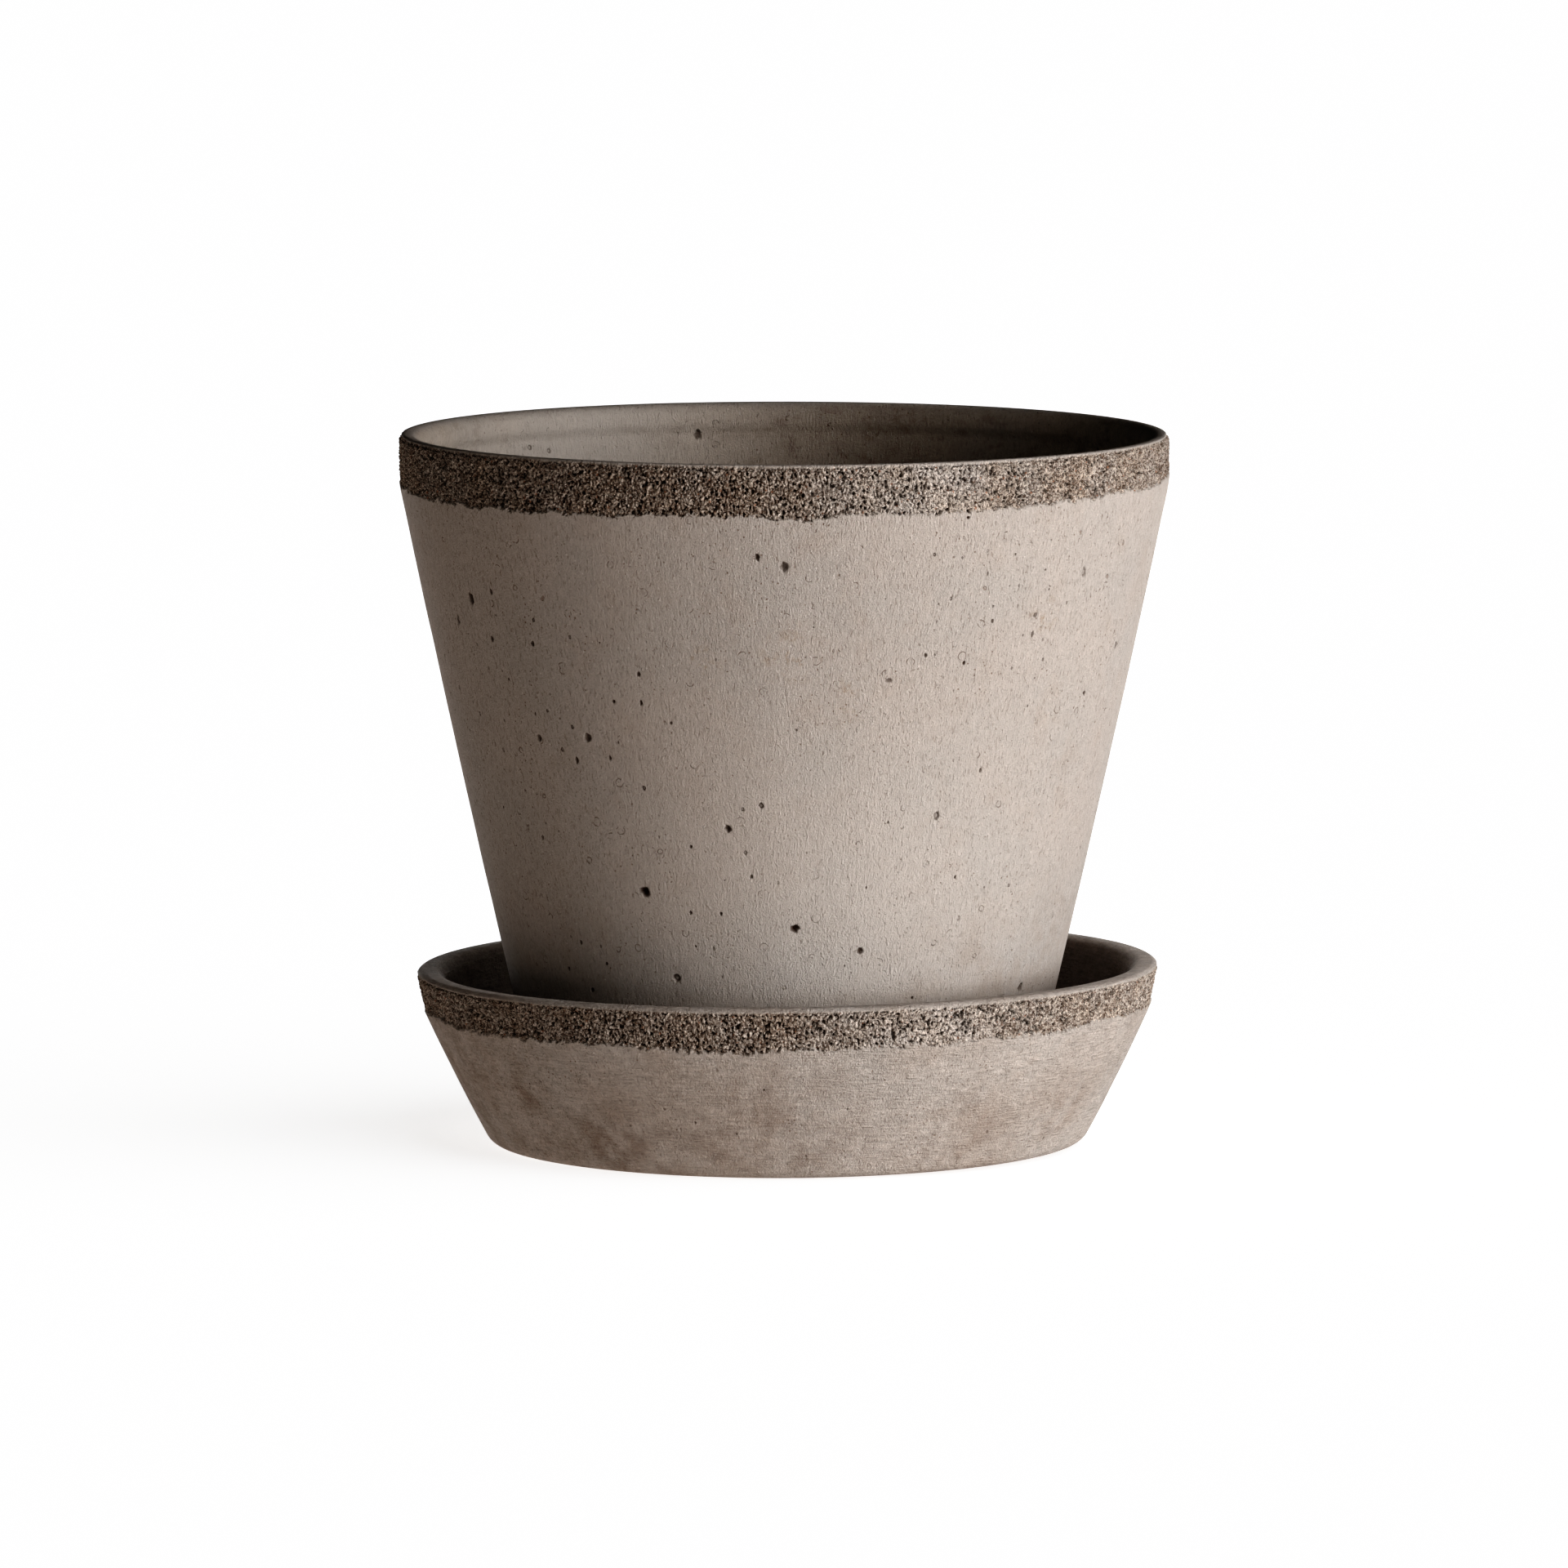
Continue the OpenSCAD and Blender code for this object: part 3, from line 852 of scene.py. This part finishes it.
# Linear colours of the clay
CLAY = (0.505, 0.465, 0.435)
CLAY_GREY = (0.455, 0.440, 0.422)
CLAY_BROWN = (0.430, 0.375, 0.335)
# The inside's clay: warmer, and lighter as painted light
CLAY_INSIDE_AND_LIGHT = (0.560, 0.500, 0.440)
OCHRE = (0.33, 0.235, 0.15)
# Brown of stains and dark marks, also used for painted shade on the saucer's left
BROWN_STAIN_AND_SHADE = (0.26, 0.195, 0.155)
# Pale chalky clay, also used for painted light inside the pot and along the torn band's edge
CHALK_AND_PAINTED_LIGHT = (0.66, 0.63, 0.60)
# Painted shade in the pores
PORE_SHADE = (0.060, 0.036, 0.024)
TORN_DARK = (0.17, 0.130, 0.105)
TORN_MID = (0.42, 0.365, 0.325)
TORN_LIGHT = (0.64, 0.590, 0.550)
# Pale grains, also used for painted glints on the torn band
PALE_GRAIN_AND_GLINT = (0.78, 0.73, 0.68)
DUST = (0.76, 0.73, 0.71)
GRAIN_ORANGE = (0.52, 0.26, 0.16)
# Painted shade of the torn band's gaps, pits and deepest hollows
GAP_SHADE = (0.022, 0.015, 0.011)
# Painted shade inside the pot and the saucer
PAINTED_SHADE = (0.10, 0.075, 0.058)
# How much paler the saucer's wall is than the pot's
SAUCER_PALER = (1.03, 1.03, 1.03)


def torn_clay(n, brown, light, grit, dust):
    """The colour and height of scraped coarse clay: painted shade in gaps, pale and orange grains, painted
    glints and a share of dust.
    Brown tints patches of it, light makes it lighter, and grit is the strength of its finest grains, glints
    and painted shade in pits."""
    _, number = n.cells(0.7 * MM, offset=(3, 3, 3))
    fine = n.noise(0.5 * MM, detail=2, rough=0.65)
    drift = n.noise(12 * MM, detail=2)
    own = n.plus(n.times(n.attribute("grain"), 0.55), n.times(number, 0.35))
    own = n.plus(own, n.times(n.minus(fine, 0.5), 0.6))
    colour = n.ramp(own, (0.26, TORN_DARK), (0.40, TORN_MID), (0.56, TORN_LIGHT), (0.70, PALE_GRAIN_AND_GLINT))
    colour = n.mix(n.times(dust, n.ease(own, 0.10, 0.40)), colour, DUST)
    colour = n.mix(1.0, colour, (light, light, light), "MULTIPLY")
    colour = n.mix(n.ease(drift, 0.35, 0.7, 0.3, 1.0), colour, brown, "MULTIPLY")
    # Painted glints: tiny pale specks standing in for highlights on the band
    glint = n.ease(n.noise(0.30 * MM, detail=2, rough=0.8, offset=(8, 8, 2)), 0.57, 0.60)
    # Painted shade: dark pits on the band, which also dip its bump
    pit = n.ease(n.noise(0.36 * MM, detail=2, rough=0.7, offset=(2, 9, 5)), 0.57, 0.60)
    colour = n.mix(n.times(glint, 0.90 * grit), colour, PALE_GRAIN_AND_GLINT)
    colour = n.mix(n.times(pit, 0.75 * grit), colour, GAP_SHADE)
    # Painted glints and pale grains, as scattered pale dots
    spark_glint = n.dots(0.8 * MM, (0.22, 0.27), (0.80, 0.82), offset=(1, 6, 2))
    colour = n.mix(n.times(spark_glint, 0.5 + 0.5 * grit), colour, PALE_GRAIN_AND_GLINT)
    orange = n.dots(1.5 * MM, (0.18, 0.26), (0.80, 0.83))
    colour = n.mix(n.times(orange, 0.75), colour, GRAIN_ORANGE)
    # Painted shade in the band's deepest hollows
    colour = n.mix(n.times(n.attribute("cavity"), 0.9), colour, GAP_SHADE)
    return colour, n.total(0.0, (fine, 1.6), (glint, 0.7), (pit, -1.2 * grit), (spark_glint, 0.6))


def smooth_clay(n, base, rings):
    """The colour and height of brushed clay: mottling, upright brush lines, specks, and a share of rings."""
    cloud = n.noise(38 * MM, detail=3, rough=0.55)
    patch = n.noise(11 * MM, detail=3, rough=0.6, offset=(3, 1, 7))
    colour = n.mix(n.ease(cloud, 0.38, 0.68, 0.0, 0.45), base, CLAY_GREY)
    colour = n.mix(n.ease(patch, 0.50, 0.75, 0.0, 0.4), colour, CLAY_BROWN)
    brush = n.noise(0.8 * MM, detail=3, squash=(1, 1, 0.14), rough=0.7)
    fine = n.noise(0.5 * MM, detail=3, rough=0.8)
    colour = n.shade(colour, (brush, 0.42), (fine, 0.62), (patch, 0.08))
    pale = n.ease(n.noise(0.5 * MM, detail=1, squash=(1, 1, 0.16), offset=(5, 2, 4)), 0.62, 0.70)
    dark = n.ease(n.noise(0.5 * MM, detail=1, squash=(1, 1, 0.20), offset=(2, 7, 6)), 0.63, 0.70)
    colour = n.mix(n.times(pale, 0.34), colour, CHALK_AND_PAINTED_LIGHT)
    colour = n.mix(n.times(dark, 0.34), colour, BROWN_STAIN_AND_SHADE)
    near, number = n.cells(1.5 * MM)
    inner = n.ease(n.minus(near, n.times(number, 0.14)), 0.02, 0.08, 1.0, 0.0)
    crowd = n.ease(n.noise(13 * MM, detail=2, offset=(3, 9, 9)), 0.44, 0.60, 0.15, 1.0)
    speck = n.times(n.times(inner, n.ease(number, 0.45, 0.50)), crowd)
    colour = n.mix(n.times(speck, 0.8), colour, BROWN_STAIN_AND_SHADE)
    dot = n.dots(2.4 * MM, (0.08, 0.13), (0.5, 0.6), offset=(9, 4, 2))
    colour = n.mix(n.times(dot, 0.8), colour, CHALK_AND_PAINTED_LIGHT)
    ring = n.times(small_rings(n), rings)
    colour = n.mix(n.times(ring, 0.65), colour, BROWN_STAIN_AND_SHADE)
    raised = ((brush, 1.5), (fine, 1.9), (pale, 0.6))
    return colour, n.total(0.0, *raised, (dark, -0.7), (ring, -1.3), (speck, -1.0))


def small_rings(n):
    """Thin open rings where the brush caught a grain, from 0 to 1."""
    near, number = n.cells(6.5 * MM, offset=(2, 6, 1))
    wobble = n.times(n.minus(n.noise(1.2 * MM, detail=1, offset=(7, 1, 2)), 0.5), 0.10)
    size = n.plus(n.plus(0.07, n.times(number, 0.12)), wobble)
    line_at = n.maths("ABSOLUTE", n.minus(near, size))
    thin = n.ease(line_at, 0.005, 0.026, 1.0, 0.0)
    broken = n.ease(n.noise(1.8 * MM, detail=1, offset=(1, 8, 3)), 0.48, 0.55)
    chosen = n.ease(number, 0.48, 0.52)
    return n.times(n.times(thin, broken), chosen)


def finish_clay(n, colour, height, **torn_look):
    """Joins the smooth clay with the torn band and the painted shade of the pores, and sets the shader."""
    band = n.attribute("band")
    pore = n.attribute("pore")
    torn, torn_height = torn_clay(n, **torn_look)
    # Painted light along the ragged edge of the band
    lit_edge = n.times(n.times(band, n.minus(1.0, band)), 1.6)
    colour = n.mix(lit_edge, colour, CHALK_AND_PAINTED_LIGHT)
    colour = n.mix(band, colour, torn)
    # Painted shade in the pores
    colour = n.mix(pore, colour, PORE_SHADE)
    rough = n.ease(n.noise(1.5 * MM, detail=2), 0.3, 0.7, 0.86, 0.97)
    height = n.plus(height, n.times(band, torn_height))
    n.set(n.shader.inputs["Base Color"], colour)
    n.set(n.shader.inputs["Roughness"], rough)
    n.shader.inputs["Specular IOR Level"].default_value = 0.25
    n.set(n.shader.inputs["Normal"], n.bump(height, BUMP_HEIGHT))
    return n.material


def on_pot(bearing, height):
    """A point on the pot's outer wall, at a bearing in degrees and a height above its foot."""
    r = pot_wall_r(height)
    a = math.radians(bearing)
    return (r * math.sin(a), -r * math.cos(a), height + POT_FOOT_Z)


def on_saucer(bearing, height):
    """A point on the saucer's outer wall, likewise."""
    r = saucer_wall_r(height)
    a = math.radians(bearing)
    return (r * math.sin(a), -r * math.cos(a), height)


def stained(n, colour, places, on_wall, mask, share, tint):
    """The colour with a share of a tint round each place on a wall, where the mask is."""
    for bearing, up, size in places:
        patch = n.times(n.spot(on_wall(bearing, up * MM), size * MM), mask)
        colour = n.mix(n.times(patch, share), colour, tint)
    return colour


# Ochre stains and brown clouds of the pot's wall: bearing in degrees, height and size in mm
POT_STAINS = [(1, 136, 12), (45, 144, 9), (11, 124, 9), (-13, 134, 8), (150, 90, 14), (-120, 60, 12)]
POT_CLOUDS = [(42, 38, 42), (70, 45, 36), (-150, 40, 45), (160, 130, 40)]
# Brown patches of the saucer's wall, likewise; the first and widest, low on the left, is painted shade
SAUCER_STAINS_AND_SHADE = [
    (-72, 20, 55), (-30, 4, 30), (-49, 20, 14), (-49, 3, 12), (-36, 7, 17), (-2, 8, 40), (33, 10, 30),
    (57, 15, 18), (130, 20, 20), (-140, 24, 18), (178, 12, 22),
]


def pot_clay():
    """Brushed clay with ochre stains, a paler patch low in front and clouds on its right, and a smeared
    inside with painted light on its left and painted shade on its right."""
    n = Nodes("pot_clay")
    inside = n.attribute("inside")
    smudge = n.noise(7 * MM, detail=4, rough=0.65, squash=(1, 1, 1.6), offset=(0, 5, 2))
    colour, height = smooth_clay(n, n.mix(inside, CLAY, CLAY_INSIDE_AND_LIGHT), 1.0)
    colour = n.mix(n.times(inside, n.ease(smudge, 0.50, 0.68, 0.0, 0.4)), colour, BROWN_STAIN_AND_SHADE)
    smear = n.noise(3 * MM, detail=3, rough=0.7, offset=(4, 4, 4))
    colour = stained(n, colour, POT_STAINS, on_pot, n.ease(smear, 0.5, 0.68), 0.55, OCHRE)
    # Paler low on the front of the wall
    pale_front_patch = n.spot(on_pot(8, 60 * MM), 85 * MM)
    colour = n.mix(n.times(pale_front_patch, 0.42), colour, CHALK_AND_PAINTED_LIGHT)
    cloud = n.noise(9 * MM, detail=4, rough=0.65, offset=(6, 1, 1))
    colour = stained(n, colour, POT_CLOUDS, on_pot, n.ease(cloud, 0.42, 0.7), 0.75, CLAY_BROWN)
    # Painted light on the inside's left, where the lamps' light falls
    inside_left_light = n.spot((-55 * MM, 85 * MM, POT_H), 70 * MM)
    colour = n.mix(n.times(n.times(inside, inside_left_light), 0.7), colour, CHALK_AND_PAINTED_LIGHT)
    # Painted shade on the inside's right
    inside_right_shade = n.spot((32 * MM, 92 * MM, POT_H), 62 * MM)
    colour = n.mix(n.times(n.times(inside, inside_right_shade), 0.42), colour, PAINTED_SHADE)
    dust = n.times(n.spot(on_pot(22, 176 * MM), 40 * MM), 0.9)
    brown = n.mix(n.spot(on_pot(92, 176 * MM), 60 * MM), (0.94, 0.87, 0.80), (0.46, 0.38, 0.32))
    return finish_clay(n, colour, height, brown=brown, light=1.28, grit=1.0, dust=dust)


def saucer_clay():
    """Rubbed clay with brown patches, the widest of them painted shade on the left, fine scratches round it,
    and painted shade inside, mostly on the right.
    """
    n = Nodes("saucer_clay")
    colour, height = smooth_clay(n, CLAY, 0.3)
    cloud = n.noise(8 * MM, detail=4, rough=0.65, offset=(2, 2, 9))
    broad = n.noise(22 * MM, detail=3, offset=(7, 5, 0))
    smudge = n.noise(2.2 * MM, detail=4, rough=0.75, squash=(0.6, 0.6, 1), offset=(0, 3, 3))
    colour = n.mix(n.ease(broad, 0.42, 0.68, 0.0, 0.5), colour, CLAY_BROWN)
    # Brown patches, the first and widest of them painted shade on the saucer's left
    colour = stained(n, colour, SAUCER_STAINS_AND_SHADE, on_saucer, n.ease(cloud, 0.3, 0.75), 0.65, BROWN_STAIN_AND_SHADE)
    # Painted shade inside the saucer, strongest on the right
    saucer_inside_shade = n.spot(on_saucer(112, 26 * MM), 90 * MM)
    saucer_inside_shade = n.times(n.attribute("inside"), n.ease(saucer_inside_shade, 0.2, 0.8, 0.6, 1.0))
    colour = n.mix(n.times(saucer_inside_shade, 0.75), colour, PAINTED_SHADE)
    scratch = n.noise(0.5 * MM, detail=2, squash=(0.1, 0.1, 1), rough=0.7, offset=(1, 1, 1))
    worn = n.ease(cloud, 0.40, 0.62, 0.4, 1.5)
    colour = n.shade(colour, (n.ease(scratch, 0.3, 0.7), 0.20), (smudge, 0.60))
    height = n.total(height, (n.times(scratch, worn), 2.0), (smudge, 2.6))
    dust = n.times(n.spot(on_saucer(22, 42 * MM), 36 * MM), n.ease(cloud, 0.35, 0.6, 0.5, 1.0))
    colour = n.mix(1.0, colour, SAUCER_PALER, "MULTIPLY")
    return finish_clay(n, colour, height, brown=(0.97, 0.91, 0.85), light=1.30, grit=0.85, dust=dust)


# ---------------------------------------------------------------- studio

# The width of the view at the object, and where the camera looks at it from
VIEW_WIDTH = 0.4276
CAMERA_DISTANCE = 3.9
CAMERA_ELEVATION = 6.2
LOOK_AT = Vector((0, 0, 97.8 * MM))

# What the camera sees behind the object, part of it lit and part of it glowing, so that shadows stay light
PALE = 0.97
FLOOR_GLOW = 0.66
FLOOR_ALBEDO = 0.84
FLOOR_LIGHT_BEARING = 60
FLOOR_LIGHT_ELEVATION = 52
FLOOR_LIGHT_SPREAD = math.radians(70)
FLOOR_HALF = 7.0
FLOOR_DROP = 0.2 * MM
DOME_R = 9.0
# A warm table that lights the object from below
TABLE_LIGHT = (0.500, 0.425, 0.375)
TABLE_HALF = 1.5
TABLE_DROP = 0.6 * MM
# Softboxes: name, bearing, elevation, distance, width, height, radiance and colour
SOFTBOXES = [
    ("key", 59, 8, 1.6, 1.49, 0.68, 6.32, (1.0, 1.0, 1.0)),
    ("key_front", 45, 12, 1.6, 1.2, 0.68, 2.66, (1.2, 1.0, 0.85)),
    ("key_low", 60, -6, 1.6, 1.49, 0.3, 4.33, (0.95, 1.0, 1.05)),
    ("fill", -70, 10, 1.6, 1.0, 1.0, 0.35, (1.05, 1.0, 0.92)),
    ("back_corner", 130, 20, 1.4, 1.0, 0.4, 0.9, (1.0, 1.0, 1.0)),
    ("back_strip", 180, 0, 1.3, 1.4, 0.18, 16.0, (1.0, 1.0, 1.0)),
]
# The picture's tone curve deepens tones near and below TONE_TOE, and leaves the light ones
TONE_TOE = 0.08
TONE_GAIN = 1.28
TONE_POINTS = (0.02, 0.05, 0.1, 0.2, 0.35, 0.6, 0.8)


def direction(bearing, elevation):
    """The unit vector from the object towards a bearing in degrees from the front, and an elevation."""
    a, e = math.radians(bearing), math.radians(elevation)
    return Vector((math.sin(a) * math.cos(e), -math.cos(a) * math.cos(e), math.sin(e)))


def aim(thing, bearing, elevation, distance):
    """Puts a camera or lamp at a distance from the object, facing it."""
    away = direction(bearing, elevation)
    thing.location = LOOK_AT + away * distance
    thing.rotation_euler = (-away).to_track_quat("-Z", "Y").to_euler()
    bpy.context.scene.collection.objects.link(thing)


def set_tones():
    """The picture's tone curve."""
    view = bpy.context.scene.view_settings
    view.view_transform = "Standard"
    view.use_curve_mapping = True
    curve = view.curve_mapping.curves[3]
    for light in TONE_POINTS:
        curve.points.new(light, TONE_GAIN * light ** 2 / (light + TONE_TOE))
    view.curve_mapping.update()


def make_camera():
    data = bpy.data.cameras.new("camera")
    data.sensor_width = 36
    data.lens = data.sensor_width * CAMERA_DISTANCE / VIEW_WIDTH
    data.clip_end = 60
    camera = bpy.data.objects.new("camera", data)
    aim(camera, 0, CAMERA_ELEVATION, CAMERA_DISTANCE)
    bpy.context.scene.camera = camera


def light_only(lamp, things):
    """Keeps a lamp's light to some objects."""
    receivers = bpy.data.collections.new(lamp.name + "_receivers")
    for thing in things:
        receivers.objects.link(thing)
    lamp.light_linking.receiver_collection = receivers


def softbox(name, bearing, elevation, distance, width, height, radiance, colour):
    """A rectangular light that faces the object and that the camera doesn't see."""
    data = bpy.data.lights.new(name, "AREA")
    data.shape = "RECTANGLE"
    data.size, data.size_y = width, height
    data.energy = radiance * math.pi * width * height
    data.color = colour
    lamp = bpy.data.objects.new(name, data)
    lamp.visible_camera = False
    aim(lamp, bearing, elevation, distance)
    return lamp


def plain_material(name, colour, glow):
    """An even, matt material that also glows by itself, in a colour of its own."""
    material = bpy.data.materials.new(name)
    material.use_nodes = True
    shader = material.node_tree.nodes["Principled BSDF"]
    shader.inputs["Base Color"].default_value = (*colour, 1)
    shader.inputs["Roughness"].default_value = 1.0
    shader.inputs["Specular IOR Level"].default_value = 0.0
    shader.inputs["Emission Color"].default_value = (*glow, 1)
    shader.inputs["Emission Strength"].default_value = 1.0
    return material


def flat_square(name, half, z, material):
    mesh = bpy.data.meshes.new(name)
    corners = [(-half, -half, z), (half, -half, z), (half, half, z), (-half, half, z)]
    mesh.from_pydata(corners, [], [(0, 1, 2, 3)])
    mesh.materials.append(material)
    square = bpy.data.objects.new(name, mesh)
    bpy.context.scene.collection.objects.link(square)
    square.visible_shadow = False
    return square


def camera_only(thing):
    """The camera sees it, and it gives no light to anything."""
    thing.visible_diffuse = False
    thing.visible_glossy = False
    thing.visible_transmission = False
    thing.visible_shadow = False


def make_floors():
    """The pale floor that the camera sees, and the table under it."""
    pale = plain_material("floor", (FLOOR_ALBEDO,) * 3, (FLOOR_GLOW,) * 3)
    floor = flat_square("floor", FLOOR_HALF, -FLOOR_DROP, pale)
    camera_only(floor)
    warm = plain_material("table", (0, 0, 0), TABLE_LIGHT)
    table = flat_square("table", TABLE_HALF, -TABLE_DROP, warm)
    table.visible_camera = False
    data = bpy.data.lights.new("floor_light", "SUN")
    lit = PALE - FLOOR_GLOW
    data.energy = lit * math.pi / FLOOR_ALBEDO / math.sin(math.radians(FLOOR_LIGHT_ELEVATION))
    data.angle = FLOOR_LIGHT_SPREAD
    lamp = bpy.data.objects.new("floor_light", data)
    aim(lamp, FLOOR_LIGHT_BEARING, FLOOR_LIGHT_ELEVATION, 2.0)
    light_only(lamp, [floor])


def make_backdrop():
    """A pale wall all round, which only the camera sees."""
    bpy.ops.mesh.primitive_uv_sphere_add(segments=48, ring_count=24, radius=DOME_R)
    dome = bpy.context.object
    dome.name = "backdrop"
    dome.data.materials.append(plain_material("backdrop", (0, 0, 0), (PALE,) * 3))
    camera_only(dome)


def make_studio(pieces):
    """Three softboxes on the right that make one soft key, a weak fill, two lamps behind and a dark room."""
    world = bpy.data.worlds.new("world")
    bpy.context.scene.world = world
    world.use_nodes = True
    world.node_tree.nodes["Background"].inputs["Color"].default_value = (0, 0, 0, 1)
    set_tones()
    make_floors()
    make_backdrop()
    for lamp in [softbox(*look) for look in SOFTBOXES]:
        light_only(lamp, pieces)


# ---------------------------------------------------------------- assembly

make_camera()

pot = make_pot()
pot.data.materials.append(pot_clay())
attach(pot, "pot")
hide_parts("pot")

saucer = make_saucer()
saucer.data.materials.append(saucer_clay())
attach(saucer, "saucer")
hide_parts("saucer")

make_studio([pot, saucer])
